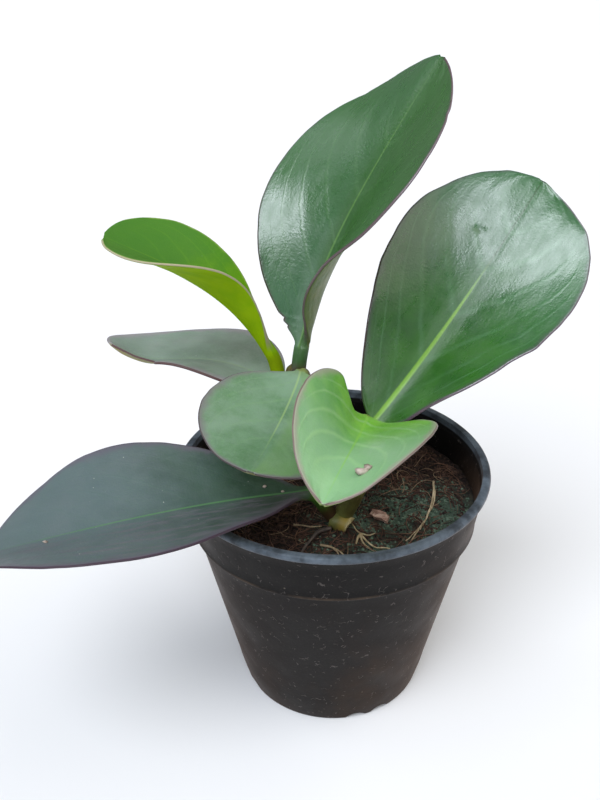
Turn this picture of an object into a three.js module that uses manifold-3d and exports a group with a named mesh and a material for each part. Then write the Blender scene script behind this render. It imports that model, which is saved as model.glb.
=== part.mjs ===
// Potted peperomia: a young plant with seven fleshy leaves on one zigzag stem, standing in a
// round nursery pot of thin black plastic that is filled with coir soil. Millimetres, +Z up.
// The origin is the centre of the pot's flat base. The plant stands off the pot's centre, on
// the -Y side. Every leaf is one solid: its stalk and its blade.
import * as THREE from "three";
import { mergeVertices } from "three/addons/utils/BufferGeometryUtils.js";
import Module from "manifold-3d";

const wasm = await Module();
wasm.setup();

// ---------------------------------------------------------------- driving dimensions
const pot = {
  height: 91,
  rimRadius: 55, // outside of the rolled lip
  lipHeight: 2.6,
  lipOverhang: 1.7, // how far the lip stands out from the collar
  collarDepth: 19.3, // from the rim down to the collar's lower edge
  collarTaper: 2.5, // how much narrower the collar is at its lower edge
  collarStep: 1.4, // how far the body is set in below the collar
  footHeight: 11,
  footRadius: 36.6, // where the foot band meets the body
  baseRadius: 34,
  wall: 1.2,
  floor: 1.6,
  segments: 64,
};
const drain = {
  width: 8, // each notch, along the pot's edge
  height: 2.5,
  pairCount: 4,
  pairAngle: -69, // degrees, the first pair's middle
  halfGap: 8, // degrees, from a pair's middle to each notch
};
const headspace = 12; // from the rim down to the soil
const gap = 0.3; // between any two pieces that meet
const soil = {
  bump: 0.9, // height of the soil's lumps
  lumpLength: 13,
  segments: 48,
  topRings: 9,
};
const stem = { radius: 3.6, tipRadius: 2.9, rootDepth: 26, nodeBulge: 1.1 };
const stalkRadius = 2.4;
const blade = { midThickness: 1.6, edgeThickness: 0.9 };

// The stem's path, as [x, y, height above the soil], from the soil to the top node.
const stemPath = {
  soil: [2, -21, 0],
  lower: [6.8, -22.5, 19],
  upper: [-3.5, -15, 38],
  top: [-11.6, -9.5, 50],
};
const stub = { start: [-1.2, -22.4, 3.1], end: [4.6, -24.9, 2], radius: 3 }; // old cut end

// Each leaf: the stalk leaves the stem at `from` along `leave`, which is longer than 1 where the
// stalk bends late, and the blade's midrib is a Bezier curve through `rib`. faceBase and faceTip
// are the ways its upper side faces. shape holds the two powers of the outline. fold is how far
// each half is raised above flat, and curl how much further it turns up towards its edge, in
// degrees at [base, tip]. neck is the share of the length over which the halves fold up.
const leaves = {
  leaf_upper: {
    from: "top", leave: [0, 0, 1], halfWidth: 33, shape: [0.96, 0.64],
    rib: [[-10.4, -11, 62], [-5, -3, 90], [12, -5, 117], [30, -1, 146]],
    faceBase: [-0.6, -0.8, 0.3], faceTip: [-0.8, -0.5, 0.3],
    foldRight: [83, 14], curlRight: [27, 1], foldLeft: [43, -14], curlLeft: [26, -16],
    color: 0x2f5236,
  },
  leaf_right: {
    from: "lower", leave: [0.3, 0.4, 1], halfWidth: 32, shape: [0.63, 0.55],
    rib: [[13, -10.5, 34], [39, 0, 64], [58.5, 17.5, 89], [68, 19, 105]],
    faceBase: [0.18, -0.71, 0.69], faceTip: [-0.05, -0.43, 0.9],
    foldRight: [57, -18], curlRight: [38, 7], foldLeft: [32, 5], curlLeft: [14, -15],
    color: 0x3a5c40,
  },
  leaf_young: {
    from: "upper", leave: [-2, 1.1, 0.2], halfWidth: 21.5, shape: [1, 0.44], neck: 0.12,
    rib: [[-20.4, -6, 58], [-34, -6, 82], [-51, -9, 88], [-69, -10, 98]],
    faceBase: [0.82, 0.25, 0.48], faceTip: [0.3, -0.12, 0.95],
    foldRight: [84, 7], curlRight: [15, -9], foldLeft: [71, 18], curlLeft: [9, -1],
    color: 0x5f9a1c,
  },
  leaf_left: {
    from: "top", leave: [-0.6, 0.8, -0.3], halfWidth: 25, shape: [0.46, 0.58],
    rib: [[-19, -0.5, 42.5], [-46, 15, 54], [-62, 19, 36], [-75, 8, 55]],
    faceBase: [-0.2, 0.1, 1], faceTip: [0.2, -0.1, 1],
    foldRight: [16, -4], curlRight: [-4, -5], foldLeft: [22, 36], curlLeft: [-12, -4],
    color: 0x7d8f80,
  },
  leaf_round: {
    from: "top", leave: [0.1, -0.9, 0.5], halfWidth: 24, shape: [0.57, 0.56],
    rib: [[-11, -14, 53], [-15, -27, 48], [-20, -43, 46], [-25, -62, 48]],
    faceBase: [-0.1, -0.6, 0.8], faceTip: [0, -0.4, 0.9],
    foldRight: [17, 11], curlRight: [5, -12], foldLeft: [10, -2], curlLeft: [-8, -12],
    color: 0x6e8f78,
  },
  leaf_folded: {
    from: "lower", leave: [0.2, -0.8, 0.6], halfWidth: 23, shape: [0.45, 0.62],
    rib: [[9, -28, 44], [5, -51, 51], [2, -70, 61], [-6, -86, 54]],
    faceBase: [0.1, -0.5, 0.8], faceTip: [-0.1, -0.5, 0.8],
    foldRight: [66, 32], curlRight: [-2, 12], foldLeft: [37, 25], curlLeft: [-3, 8],
    color: 0x86b266,
  },
  leaf_low: {
    from: "soil", leave: [-0.9, -0.25, 0.6], halfWidth: 28.5, shape: [1.02, 0.6],
    rib: [[-10, -27, 17], [-41, -41, 25], [-74, -51, 22], [-108, -52, 13]],
    faceBase: [0, -0.4, 0.9], faceTip: [0.5, 0.1, 0.9],
    foldRight: [17, 17], curlRight: [2, -7], foldLeft: [37, 21], curlLeft: [2, 2],
    color: 0x3f5552,
  },
};
const leafGrid = { stalkRings: 5, bladeRings: 15, across: 8, flare: 0.12, neck: 0.04 };

// Loose bits that lie on the soil: the middle line as [x, y] points, and a thickness.
const litter = {
  straw_stalk: { path: [[36, 2], [34.5, -12], [25, -30]], radius: 0.7, color: 0xb3a06a },
  brown_twig: { path: [[-2, -26.5], [-7, -29], [-12, -38]], radius: 0.8, color: 0x4a3a2e },
  pale_fibre: { path: [[-5, -34], [0, -37], [4, -42]], radius: 0.5, color: 0xa58a62 },
  root_tuft: { path: [[8, -29], [12, -34], [18, -35]], radius: 0.6, color: 0xa98f63 },
};
const barkChip = { at: [15.5, -17.5], length: 7, width: 3.6, thickness: 1.4, turn: -35 };

// ---------------------------------------------------------------- derived places
const soilLevel = pot.height - headspace;
const rad = THREE.MathUtils.degToRad;
const vec = (p) => new THREE.Vector3(...p);
const aboveSoil = (p) => new THREE.Vector3(p[0], p[1], p[2] + soilLevel);

// ---------------------------------------------------------------- solids and meshes
function toManifold(geometry) {
  const bare = geometry.clone();
  for (const name of Object.keys(bare.attributes)) {
    if (name !== "position") bare.deleteAttribute(name);
  }
  const merged = mergeVertices(bare, 1e-4);
  return new wasm.Manifold(new wasm.Mesh({
    numProp: 3,
    vertProperties: new Float32Array(merged.attributes.position.array),
    triVerts: new Uint32Array(merged.index.array),
  }));
}

function toGeometry(solid) {
  const mesh = solid.getMesh();
  const geometry = new THREE.BufferGeometry();
  geometry.setAttribute("position", new THREE.BufferAttribute(mesh.vertProperties, 3));
  geometry.setIndex(new THREE.BufferAttribute(mesh.triVerts, 1));
  geometry.computeVertexNormals();
  return geometry;
}

const group = new THREE.Group();

function addPart(name, solid, color, roughness) {
  const material = new THREE.MeshStandardMaterial({ color, roughness, metalness: 0 });
  const mesh = new THREE.Mesh(toGeometry(solid), material);
  mesh.name = name;
  group.add(mesh);
}

// A closed body through rings that all have the same number of points, capped at both ends.
// The rings follow one another along the body and each runs anticlockwise seen from its end.
function loft(rings) {
  const count = rings[0].length;
  const points = rings.flat();
  const faces = [];
  for (let i = 0; i + 1 < rings.length; i++) {
    for (let j = 0; j < count; j++) {
      const a = i * count + j;
      const b = i * count + ((j + 1) % count);
      faces.push(a, b, b + count, a, b + count, a + count);
    }
  }
  for (const [ring, flip] of [[0, true], [rings.length - 1, false]]) {
    const middle = new THREE.Vector3();
    rings[ring].forEach((p) => middle.addScaledVector(p, 1 / count));
    points.push(middle);
    const hub = points.length - 1;
    for (let j = 0; j < count; j++) {
      const a = ring * count + j;
      const b = ring * count + ((j + 1) % count);
      if (flip) faces.push(hub, b, a);
      else faces.push(hub, a, b);
    }
  }
  const geometry = new THREE.BufferGeometry().setFromPoints(points);
  geometry.setIndex(faces);
  return toManifold(geometry);
}

// A round body along a curve, whose radius is a function of the share of the way along it.
function taperedTube(curve, radiusAt, rings, sides) {
  const frames = curve.computeFrenetFrames(rings, false);
  const sections = [];
  for (let i = 0; i <= rings; i++) {
    const centre = curve.getPointAt(i / rings);
    const section = [];
    for (let j = 0; j < sides; j++) {
      const angle = (2 * Math.PI * j) / sides;
      const out = frames.normals[i].clone().multiplyScalar(Math.cos(angle));
      out.addScaledVector(frames.binormals[i], Math.sin(angle));
      section.push(centre.clone().addScaledVector(out, radiusAt(i / rings)));
    }
    sections.push(section);
  }
  return loft(sections);
}

// ---------------------------------------------------------------- pot
const collarBottom = pot.height - pot.collarDepth;
const collarTop = { r: pot.rimRadius - pot.lipOverhang, z: pot.height - pot.lipHeight };
const collarFoot = { r: collarTop.r - pot.collarTaper, z: collarBottom };
const bodyTop = { r: collarFoot.r - pot.collarStep, z: collarBottom - pot.collarStep };

function outerProfile() {
  const round = pot.lipHeight * 0.3;
  return [
    [pot.baseRadius - pot.floor / 2, 0],
    [pot.baseRadius, pot.floor / 2],
    [pot.footRadius, pot.footHeight],
    [bodyTop.r, bodyTop.z],
    [collarFoot.r, collarFoot.z],
    [collarTop.r, collarTop.z],
    [pot.rimRadius - round, collarTop.z],
    [pot.rimRadius, collarTop.z + round],
    [pot.rimRadius, pot.height - round],
    [pot.rimRadius - round, pot.height],
  ];
}

function innerProfile() {
  const inset = pot.wall;
  return [
    [collarTop.r - inset + 0.4, pot.height],
    [collarTop.r - inset, pot.height - 0.6],
    [collarFoot.r - inset, collarFoot.z - inset / 2],
    [bodyTop.r - inset, bodyTop.z - inset / 2],
    [pot.footRadius - inset, pot.footHeight],
    [pot.baseRadius - inset + 0.2, pot.floor],
  ];
}

function latheSolid(profile, segments) {
  const points = profile.map(([r, z]) => new THREE.Vector2(r, z));
  return toManifold(new THREE.LatheGeometry(points, segments).rotateX(Math.PI / 2));
}

function drainNotches() {
  const rise = drain.height;
  const radius = ((drain.width / 2) ** 2 + rise ** 2) / (2 * rise);
  const length = pot.wall + 12;
  const notches = [];
  for (let pair = 0; pair < drain.pairCount; pair++) {
    for (const side of [-1, 1]) {
      const angle = rad(drain.pairAngle + (360 / drain.pairCount) * pair + side * drain.halfGap);
      const cutter = new THREE.CylinderGeometry(radius, radius, length, 20);
      cutter.rotateZ(Math.PI / 2);
      cutter.translate(pot.baseRadius, 0, rise - radius);
      cutter.rotateZ(angle);
      notches.push(toManifold(cutter));
    }
  }
  return notches;
}

function buildPot() {
  const profile = [[0, 0], ...outerProfile(), ...innerProfile(), [0, pot.floor]];
  let shell = latheSolid(profile, pot.segments);
  for (const notch of drainNotches()) shell = shell.subtract(notch);
  return shell;
}

// The pot's inside radius at a height, less the gap that the soil keeps.
function soilRadius(z) {
  const wall = innerProfile().map(([r, height]) => [r - gap, height]).reverse();
  for (let i = 0; i + 1 < wall.length; i++) {
    const [r0, z0] = wall[i];
    const [r1, z1] = wall[i + 1];
    if (z <= z1) return r0 + (r1 - r0) * Math.max(0, (z - z0) / (z1 - z0));
  }
  return wall.at(-1)[0];
}

// ---------------------------------------------------------------- soil
function soilHeight(x, y) {
  const k = (2 * Math.PI) / soil.lumpLength;
  const broad = Math.sin(k * 0.45 * x + 1.1) * Math.cos(k * 0.4 * y - 0.6);
  const fine = Math.sin(k * x + 0.7 * Math.sin(k * y)) * Math.cos(k * 0.9 * y + 0.5);
  return soilLevel + soil.bump * (0.6 * broad + 0.4 * fine);
}

function buildSoil() {
  const levels = [
    pot.floor + gap,
    pot.footHeight,
    bodyTop.z - pot.wall / 2,
    collarFoot.z - pot.wall / 2,
  ];
  const ring = (radius, heightAt) => {
    const points = [];
    for (let j = 0; j < soil.segments; j++) {
      const angle = (2 * Math.PI * j) / soil.segments;
      const x = radius * Math.cos(angle);
      const y = radius * Math.sin(angle);
      points.push(new THREE.Vector3(x, y, heightAt(x, y)));
    }
    return points;
  };
  const rings = levels.map((z) => ring(soilRadius(z) - wallSag(soilRadius(z)), () => z));
  const topRadius = soilRadius(soilLevel - soil.bump) - wallSag(pot.rimRadius);
  for (let i = soil.topRings; i > 0; i--) {
    rings.push(ring((topRadius * i) / soil.topRings, soilHeight));
  }
  return loft(rings).subtract(stemSolid(gap));
}

// How far a many-sided wall's flats stand inside its true circle.
function wallSag(radius) {
  return radius * (1 - Math.cos(Math.PI / pot.segments));
}

// ---------------------------------------------------------------- stem
function stemSolid(grow) {
  const foot = aboveSoil(stemPath.soil);
  const root = foot.clone().add(new THREE.Vector3(-1, 1.5, -stem.rootDepth - grow));
  const nodes = Object.values(stemPath).slice(1).map(aboveSoil);
  const tip = nodes.at(-1).clone().add(new THREE.Vector3(-0.4, 0, stem.tipRadius / 2 + grow));
  const curve = new THREE.CatmullRomCurve3([root, foot, ...nodes, tip], false, "centripetal");
  const length = curve.getLength();
  const reach = (point) => {
    let best = 0;
    for (let i = 0; i <= 200; i++) {
      const nearer = curve.getPointAt(i / 200).distanceTo(point);
      if (nearer < curve.getPointAt(best).distanceTo(point)) best = i / 200;
    }
    return best;
  };
  const joints = nodes.map(reach);
  const radiusAt = (u) => {
    const plain = THREE.MathUtils.lerp(stem.radius, stem.tipRadius, u);
    const swell = joints.map((j) => Math.exp(-(((u - j) * length) ** 2) / 12));
    return plain + stem.nodeBulge * Math.max(...swell) + grow;
  };
  const trunk = taperedTube(curve, radiusAt, 26, 12);
  const stubStart = aboveSoil(stub.start);
  const stubEnd = aboveSoil(stub.end);
  const stubWay = stubEnd.clone().sub(stubStart).normalize();
  stubStart.addScaledVector(stubWay, -grow);
  stubEnd.addScaledVector(stubWay, grow);
  const stubLine = new THREE.LineCurve3(stubStart, stubEnd);
  const stubBody = taperedTube(stubLine, () => stub.radius + grow, 2, 10);
  return trunk.add(stubBody);
}

// ---------------------------------------------------------------- leaves
function outline(t, [rise, fall]) {
  const widest = rise / (rise + fall);
  return (t / widest) ** rise * ((1 - t) / (1 - widest)) ** fall;
}

// The blade's own directions at the share t of its length: along, up (facing) and to its right.
function bladeFrame(leaf, midrib, t) {
  const along = midrib.getTangent(t);
  const turn = t * t * (3 - 2 * t);
  const up = vec(leaf.faceBase).normalize().lerp(vec(leaf.faceTip).normalize(), turn);
  up.addScaledVector(along, -up.dot(along)).normalize();
  return { along, up, right: along.clone().cross(up) };
}

// One closed section: across the upper side from the left edge to the right, then back below.
function section(centre, frame, half, thickness, bend) {
  const upper = [];
  const lower = [];
  for (let j = 0; j <= leafGrid.across; j++) {
    const q = -Math.cos((Math.PI * j) / leafGrid.across);
    const [fold, curl] = q < 0 ? bend.left : bend.right;
    const side = Math.sign(q);
    let outwards = 0;
    let raised = 0;
    const steps = 8;
    for (let k = 0; k < steps; k++) {
      const angle = fold + (curl * Math.abs(q) * (k + 0.5)) / steps;
      outwards += (Math.cos(angle) * Math.abs(q) * half) / steps;
      raised += (Math.sin(angle) * Math.abs(q) * half) / steps;
    }
    const point = centre.clone();
    point.addScaledVector(frame.right, side * outwards).addScaledVector(frame.up, raised);
    const slope = fold + curl * Math.abs(q);
    const normal = frame.up.clone().multiplyScalar(Math.cos(slope));
    normal.addScaledVector(frame.right, -side * Math.sin(slope));
    normal.lerp(frame.up, (1 - Math.abs(q)) ** 2).normalize();
    const depth = (thickness / 2) * Math.sqrt(Math.max(0, 1 - q * q));
    upper.push(point.clone().addScaledVector(normal, depth));
    if (j > 0 && j < leafGrid.across) lower.push(point.addScaledVector(normal, -depth));
  }
  return [...upper, ...lower.reverse()];
}

function leafRings(leaf, grow) {
  const rib = leaf.rib.map(aboveSoil);
  const midrib = new THREE.CubicBezierCurve3(...rib);
  const start = aboveSoil(stemPath[leaf.from]);
  // A stalk from the stem's foot starts high enough for its under side to clear the soil.
  start.z = Math.max(start.z, soilLevel + stalkRadius / 2);
  const reach = start.distanceTo(rib[0]) / 3;
  const bendAfter = start.clone().addScaledVector(vec(leaf.leave), reach);
  const bendBefore = rib[0].clone().addScaledVector(midrib.getTangent(0), -reach);
  const stalk = new THREE.CubicBezierCurve3(start, bendAfter, bendBefore, rib[0]);
  const rings = [];
  const flat = { left: [0, 0], right: [0, 0] };
  const round = stalkRadius + grow;
  const base = bladeFrame(leaf, midrib, 0);
  for (let i = 0; i < leafGrid.stalkRings; i++) {
    const u = i / leafGrid.stalkRings;
    const along = stalk.getTangent(u);
    const up = base.up.clone().addScaledVector(along, -base.up.dot(along)).normalize();
    const frame = { along, up, right: along.clone().cross(up) };
    rings.push(section(stalk.getPoint(u), frame, round, 2 * round, flat));
  }
  for (let i = 0; i <= leafGrid.bladeRings; i++) {
    const t = (i / leafGrid.bladeRings) * 0.995;
    const fade = Math.exp(-t / leafGrid.flare);
    const half = Math.hypot(leaf.halfWidth * outline(t, leaf.shape), round * fade) + grow;
    const thin = THREE.MathUtils.lerp(blade.midThickness, blade.edgeThickness, t);
    const thickness = THREE.MathUtils.lerp(thin, 2 * stalkRadius, fade ** 2) + 2 * grow;
    const opened = 1 - Math.exp(-t / (leaf.neck ?? leafGrid.neck));
    const foldAt = ([first, last]) => rad(last + (first - last) * (1 - t) ** 1.5) * opened;
    const curlAt = ([first, last]) => rad(last + (first - last) * (1 - t)) * opened;
    const bend = {
      left: [foldAt(leaf.foldLeft), curlAt(leaf.curlLeft)],
      right: [foldAt(leaf.foldRight), curlAt(leaf.curlRight)],
    };
    rings.push(section(midrib.getPoint(t), bladeFrame(leaf, midrib, t), half, thickness, bend));
  }
  return rings;
}

// ---------------------------------------------------------------- litter on the soil
function litterSolid({ path, radius }) {
  const rest = ([x, y]) => new THREE.Vector3(x, y, soilHeight(x, y) + radius + gap + 0.5);
  const curve = new THREE.CatmullRomCurve3(path.map(rest));
  return taperedTube(curve, (u) => radius * (1 - 0.3 * u), 10, 6);
}

function barkSolid() {
  const [x, y] = barkChip.at;
  const chip = new THREE.BoxGeometry(barkChip.length, barkChip.width, barkChip.thickness);
  chip.rotateZ(rad(barkChip.turn));
  chip.translate(x, y, soilHeight(x, y) + barkChip.thickness / 2 + gap + 0.5);
  return toManifold(chip);
}

// ---------------------------------------------------------------- assembly
addPart("pot", buildPot(), 0x2b2b2d, 0.45);
addPart("soil", buildSoil(), 0x2f211b, 0.95);
addPart("main_stem", stemSolid(0), 0x5a5428, 0.5);

const grownStem = stemSolid(gap);
const cleared = [];
for (const [name, leaf] of Object.entries(leaves)) {
  let solid = loft(leafRings(leaf, 0)).subtract(grownStem);
  for (const earlier of cleared) solid = solid.subtract(earlier);
  const pieces = solid.decompose().sort((a, b) => b.volume() - a.volume());
  addPart(name, pieces[0], leaf.color, 0.35);
  const stalkRings = leafRings(leaf, gap).slice(0, leafGrid.stalkRings + 3);
  cleared.push(loft(stalkRings));
}
for (const [name, piece] of Object.entries(litter)) {
  addPart(name, litterSolid(piece).subtract(grownStem), piece.color, 0.8);
}
addPart("bark_chip", barkSolid(), 0xb08a72, 0.8);

export default group;
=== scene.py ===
"""Looks of the potted peperomia: fleshy leaves, a zigzag stem, coir soil and a thin black pot.

Everything stands in the frame of the CAD model, in metres. Shapes that grew are worked out in
millimetres from the same sizes as the CAD solids, and MM turns them into metres.
"""
import math

import bpy
import numpy as np
from mathutils import Matrix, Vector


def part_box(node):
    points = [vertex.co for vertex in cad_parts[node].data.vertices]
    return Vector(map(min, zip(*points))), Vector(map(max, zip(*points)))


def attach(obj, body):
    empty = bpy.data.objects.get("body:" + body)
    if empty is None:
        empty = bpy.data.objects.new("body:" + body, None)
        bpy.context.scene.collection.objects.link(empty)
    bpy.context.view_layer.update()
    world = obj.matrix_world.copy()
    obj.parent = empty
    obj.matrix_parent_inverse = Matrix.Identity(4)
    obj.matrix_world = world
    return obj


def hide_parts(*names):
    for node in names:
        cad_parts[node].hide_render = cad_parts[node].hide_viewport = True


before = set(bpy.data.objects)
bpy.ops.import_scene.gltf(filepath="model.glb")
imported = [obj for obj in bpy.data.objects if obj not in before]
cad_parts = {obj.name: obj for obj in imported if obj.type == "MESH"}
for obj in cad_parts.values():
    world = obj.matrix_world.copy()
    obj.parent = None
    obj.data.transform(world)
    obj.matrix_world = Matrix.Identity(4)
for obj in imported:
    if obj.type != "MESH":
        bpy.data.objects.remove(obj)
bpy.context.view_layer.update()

MM = 0.001
BODY = "root"

# ------------------------------------------------------------------ sizes taken from the frame
POT_LOW, POT_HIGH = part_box("pot")
POT_HEIGHT = POT_HIGH.z / MM
RIM_RADIUS = POT_HIGH.x / MM
HEADSPACE = 12.0
SOIL_LEVEL = POT_HEIGHT - HEADSPACE

# ------------------------------------------------------------------ sizes, in millimetres
POT = {
    "lip_height": 2.6, "lip_overhang": 1.7, "collar_depth": 19.3, "collar_taper": 2.5,
    "collar_step": 1.4, "foot_height": 11.0, "foot_radius": 36.6, "base_radius": 34.0,
    "wall": 1.2, "floor": 1.6, "segments": 192,
}
DRAIN = {"width": 8.0, "height": 2.5, "pairs": 4, "pair_angle": -69.0, "half_gap": 8.0}
STEM = {"radius": 3.6, "tip_radius": 2.9, "root_depth": 26.0, "node_bulge": 1.1}
STEM_PATH = {
    "soil": (2, -21, 0),
    "lower": (6.8, -22.5, 19),
    "upper": (-3.5, -15, 38),
    "top": (-11.6, -9.5, 50),
}
STUB_START, STUB_END, STUB_RADIUS = (-1.2, -22.4, 3.1), (4.6, -24.9, 2), 3.0
STALK_RADIUS = 2.4
BLADE_MIDDLE, BLADE_EDGE = 1.6, 0.9
FLARE, NECK = 0.12, 0.04

# Each leaf, as in the CAD model: where its stalk leaves the stem and which way, the midrib's
# Bezier points (heights are above the soil), the ways its upper side faces, how far each half
# is folded up and curled, in degrees at (base, tip), and the neck over which it folds up.
LEAVES = {
    "leaf_upper": {
        "start": "top", "leave": (0, 0, 1), "half_width": 33, "shape": (0.96, 0.64),
        "rib": ((-10.4, -11, 62), (-5, -3, 90), (12, -5, 117), (30, -1, 146)),
        "faces": ((-0.6, -0.8, 0.3), (-0.8, -0.5, 0.3)),
        "fold_right": (83, 14), "curl_right": (27, 1),
        "fold_left": (43, -14), "curl_left": (26, -16),
    },
    "leaf_right": {
        "start": "lower", "leave": (0.3, 0.4, 1), "half_width": 32, "shape": (0.63, 0.55),
        "rib": ((13, -10.5, 34), (39, 0, 64), (58.5, 17.5, 89), (68, 19, 105)),
        "faces": ((0.18, -0.71, 0.69), (-0.05, -0.43, 0.9)),
        "fold_right": (57, -18), "curl_right": (38, 7),
        "fold_left": (32, 5), "curl_left": (14, -15),
    },
    "leaf_young": {
        "start": "upper", "leave": (-2, 1.1, 0.2), "half_width": 21.5, "shape": (1.0, 0.44),
        "neck": 0.12,
        "rib": ((-20.4, -6, 58), (-34, -6, 82), (-51, -9, 88), (-69, -10, 98)),
        "faces": ((0.82, 0.25, 0.48), (0.3, -0.12, 0.95)),
        "fold_right": (84, 7), "curl_right": (15, -9),
        "fold_left": (71, 18), "curl_left": (9, -1),
    },
    "leaf_left": {
        "start": "top", "leave": (-0.6, 0.8, -0.3), "half_width": 25, "shape": (0.46, 0.58),
        "rib": ((-19, -0.5, 42.5), (-46, 15, 54), (-62, 19, 36), (-75, 8, 55)),
        "faces": ((-0.2, 0.1, 1), (0.2, -0.1, 1)),
        "fold_right": (16, -4), "curl_right": (-4, -5),
        "fold_left": (22, 36), "curl_left": (-12, -4),
    },
    "leaf_round": {
        "start": "top", "leave": (0.1, -0.9, 0.5), "half_width": 24, "shape": (0.57, 0.56),
        "rib": ((-11, -14, 53), (-15, -27, 48), (-20, -43, 46), (-25, -62, 48)),
        "faces": ((-0.1, -0.6, 0.8), (0, -0.4, 0.9)),
        "fold_right": (17, 11), "curl_right": (5, -12),
        "fold_left": (10, -2), "curl_left": (-8, -12),
    },
    "leaf_folded": {
        "start": "lower", "leave": (0.2, -0.8, 0.6), "half_width": 23, "shape": (0.45, 0.62),
        "rib": ((9, -28, 44), (5, -51, 51), (2, -70, 61), (-6, -86, 54)),
        "faces": ((0.1, -0.5, 0.8), (-0.1, -0.5, 0.8)),
        "fold_right": (66, 32), "curl_right": (-2, 12),
        "fold_left": (37, 25), "curl_left": (-3, 8),
    },
    "leaf_low": {
        "start": "soil", "leave": (-0.9, -0.25, 0.6), "half_width": 28.5, "shape": (1.02, 0.6),
        "rib": ((-10, -27, 17), (-41, -41, 25), (-74, -51, 22), (-108, -52, 13)),
        "faces": ((0, -0.4, 0.9), (0.5, 0.1, 0.9)),
        "fold_right": (17, 17), "curl_right": (2, -7),
        "fold_left": (37, 21), "curl_left": (2, 2),
    },
}

# How each leaf's surface lives, in millimetres: waviness of the edge, pads between the veins,
# depth of the midrib's groove, spacing of the veins as a share of the length. Nicks are places
# on the edge as (along, side, size, depth), dents are (along, across, radius, depth), and
# crumbs that lie on the leaf are (along, across, size).
SURFACES = {
    "leaf_upper": {
        "wave": 0.7, "pads": 0.15, "groove": 0.4, "vein_gap": 0.17, "seed": 11,
        "nicks": ((0.88, 1, 0.9, 0.7), (0.085, -1, 0.7, 1.1), (0.062, -1, 0.5, 0.8),
                  (0.80, -1, 1.2, 0.5)),
    },
    "leaf_right": {
        "wave": 0.8, "pads": 0.14, "groove": 0.22, "vein_gap": 0.17, "seed": 23,
        "nicks": ((0.96, -1, 1.6, -0.8), (0.985, 1, 2.0, 1.2), (0.94, 1, 4.0, 0.5),
                  (0.89, 1, 2.6, -0.7), (0.41, 1, 2.5, -0.5), (0.34, 1, 3.5, 0.7)),
        "dents": ((0.675, -0.29, 1.2, 0.6),),
    },
    "leaf_young": {"wave": 0.3, "pads": 0.05, "groove": 0.3, "vein_gap": 0.2, "seed": 31},
    "leaf_left": {"wave": 0.5, "pads": 0.06, "groove": 0.4, "vein_gap": 0.2, "seed": 43},
    "leaf_round": {"wave": 0.5, "pads": 0.1, "groove": 0.5, "vein_gap": 0.2, "seed": 53},
    "leaf_folded": {
        "wave": 0.35, "pads": 0.12, "groove": 0.5, "vein_gap": 0.2, "seed": 61,
        "crumbs": ((0.79, -0.42, 1.8), (0.77, -0.46, 1.4)),
    },
    "leaf_low": {
        "wave": 0.6, "pads": 0.1, "groove": 0.5, "vein_gap": 0.15, "seed": 71,
        "crumbs": ((0.13, 0.35, 0.9), (0.08, 0.1, 0.6), (0.8, -0.1, 0.8)),
    },
}
STALK_RINGS, BLADE_RINGS, HALF_COLUMNS = 22, 130, 40

# ------------------------------------------------------------------ colours, linear
# What every leaf has, unless its own entry below says otherwise. Widths are in millimetres, but
# vein_width is a share of the gap between two veins. Shares and amounts go from 0 to 1.
PLAIN_LOOK = {
    "tip": (0.1, 0.2, 0.1), "tip_share": 0.0,            # colour that takes over towards the tip
    "left": (0.1, 0.2, 0.1), "left_share": 0.0,          # tint of the half left of the midrib
    "right": (0.1, 0.2, 0.1), "right_share": 0.0,        # tint of the half right of it
    "vein_share": 0.4, "vein_width": 0.09,               # how clearly the side veins show
    "rib_width": 1.2, "rib_share": 0.8, "rib_reach": 1.0,
    "rib_end": (0.02, 0.07, 0.02), "rib_end_share": 0.0,  # groove beyond the pale midrib
    "band_share": 0.5, "edge_width": 1.4,                # soft band inside the edge
    "rim_left": (0.05, 0.02, 0.02), "rim_right": (0.05, 0.02, 0.02), "rim_width": 0.32,
    "stalk_foot": (0.055, 0.028, 0.008),
    "dust": (0.45, 0.47, 0.45), "dusty": 0.1, "specks": 0.3,
    "streak": (0.1, 0.09, 0.11), "streak_share": 0.0,    # streaks along the left half
    "skin": 0.5, "roughness": 0.4, "coat": 0.1, "gloss": 0.5,
}
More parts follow.
